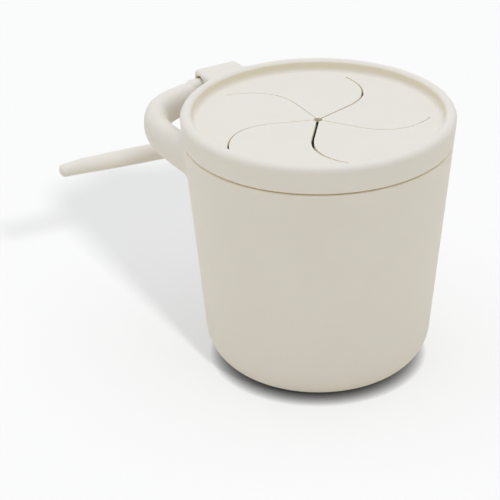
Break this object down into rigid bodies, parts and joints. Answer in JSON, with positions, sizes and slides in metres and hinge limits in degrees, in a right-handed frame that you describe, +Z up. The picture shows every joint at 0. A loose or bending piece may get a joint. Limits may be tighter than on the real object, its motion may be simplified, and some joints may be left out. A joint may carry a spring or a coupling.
{
  "type": "toddler snack container",
  "caption": "Tapered soft-silicone snack cup with a plug-in lid of curved pushable petals, a moulded carry strap threaded through the lid's loop, and a long tail.",
  "frame": {"origin": "centre of the flat base, on the surface that the cup stands on", "axes": "+Z up along the cup's axis, -Y towards the front, strap at -X; +Z is opposite to the base's outward normal"},
  "size_m": [0.1285, 0.094, 0.088],
  "materials": {
    "cup_silicone": "matte moulded silicone",
    "strap_silicone": "matte moulded silicone",
    "lid_silicone": "matte moulded silicone",
    "membrane_silicone": "matte moulded silicone"
  },
  "bodies": {
    "cup": {"cup_body": "cup_silicone", "carry_strap": "strap_silicone", "strap_neck": "strap_silicone", "strap_tail": "strap_silicone"},
    "lid": {"lid_ring": "lid_silicone", "lid_loop": "lid_silicone", "lid_membrane": "membrane_silicone"},
    "flap_1_body": {"flap_1": "membrane_silicone"},
    "flap_2_body": {"flap_2": "membrane_silicone"},
    "flap_3_body": {"flap_3": "membrane_silicone"},
    "flap_4_body": {"flap_4": "membrane_silicone"},
    "flap_5_body": {"flap_5": "membrane_silicone"}
  },
  "joints": [
    {"name": "lid_flip", "type": "hinge", "parent": "cup", "child": "lid", "pos_m": [-0.03087, 0.03587, 0.0836], "axis": [-0.866, -0.5, 0], "range_deg": [0, 115]},
    {"name": "flap_1_bend", "type": "hinge", "parent": "lid", "child": "flap_1_body", "pos_m": [-0.00921, 0.0272, 0.0835], "axis": [0.9472, 0.3206, 0], "range_deg": [-30, 55], "stiffness_Nm_per_rad": 0.02},
    {"name": "flap_2_bend", "type": "hinge", "parent": "lid", "child": "flap_2_body", "pos_m": [-0.02872, -0.00035, 0.0835], "axis": [-0.0122, 0.9999, 0], "range_deg": [-30, 55], "stiffness_Nm_per_rad": 0.02},
    {"name": "flap_3_bend", "type": "hinge", "parent": "lid", "child": "flap_3_body", "pos_m": [-0.00854, -0.02742, 0.0835], "axis": [-0.9548, 0.2974, 0], "range_deg": [-30, 55], "stiffness_Nm_per_rad": 0.02},
    {"name": "flap_4_bend", "type": "hinge", "parent": "lid", "child": "flap_4_body", "pos_m": [0.02344, -0.0166, 0.0835], "axis": [-0.5779, -0.8161, 0], "range_deg": [-30, 55], "stiffness_Nm_per_rad": 0.02},
    {"name": "flap_5_bend", "type": "hinge", "parent": "lid", "child": "flap_5_body", "pos_m": [0.02303, 0.01716, 0.0835], "axis": [0.5976, -0.8018, 0], "range_deg": [-30, 55], "stiffness_Nm_per_rad": 0.02}
  ]
}
